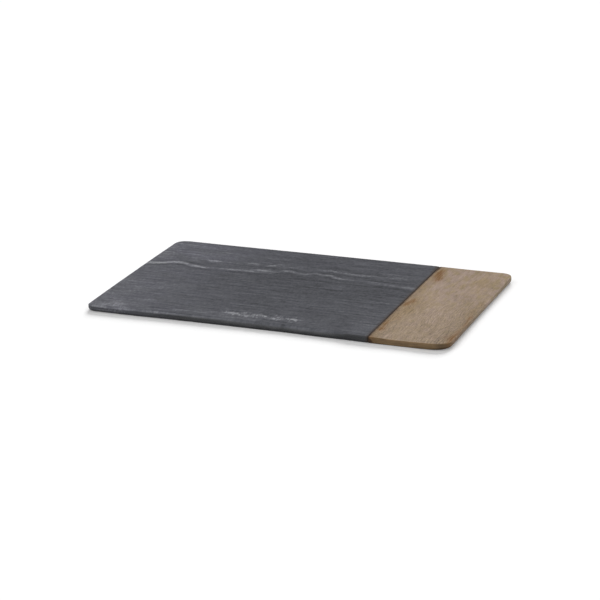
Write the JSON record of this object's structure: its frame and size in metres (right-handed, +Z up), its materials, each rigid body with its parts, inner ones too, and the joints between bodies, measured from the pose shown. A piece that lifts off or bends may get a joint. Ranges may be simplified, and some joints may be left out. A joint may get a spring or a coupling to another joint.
{
  "type": "marble and wood cutting board",
  "caption": "Thin rectangular serving and cutting board: a dark grey veined marble slab pinned and bonded to a pale wooden end block, with rounded corners and eased edges.",
  "frame": {"origin": "under the middle of the board, on the surface that it lies on", "axes": "+X along the board's length, towards the wooden end; +Y across it, away from the viewer in the picture; +Z up"},
  "size_m": [0.46, 0.298, 0.0085],
  "materials": {
    "marble": "honed dark grey marble with fine pale veins",
    "wood": "oiled pale tan hardwood, fine open grain",
    "resin": "cured dark filler resin",
    "pin_steel": "ground steel"
  },
  "bodies": {
    "root": {"marble_slab": "marble", "wood_end": "wood", "resin_bed": "resin", "dowel_pin_near": "pin_steel", "dowel_pin_middle": "pin_steel", "dowel_pin_far": "pin_steel"}
  },
  "joints": []
}
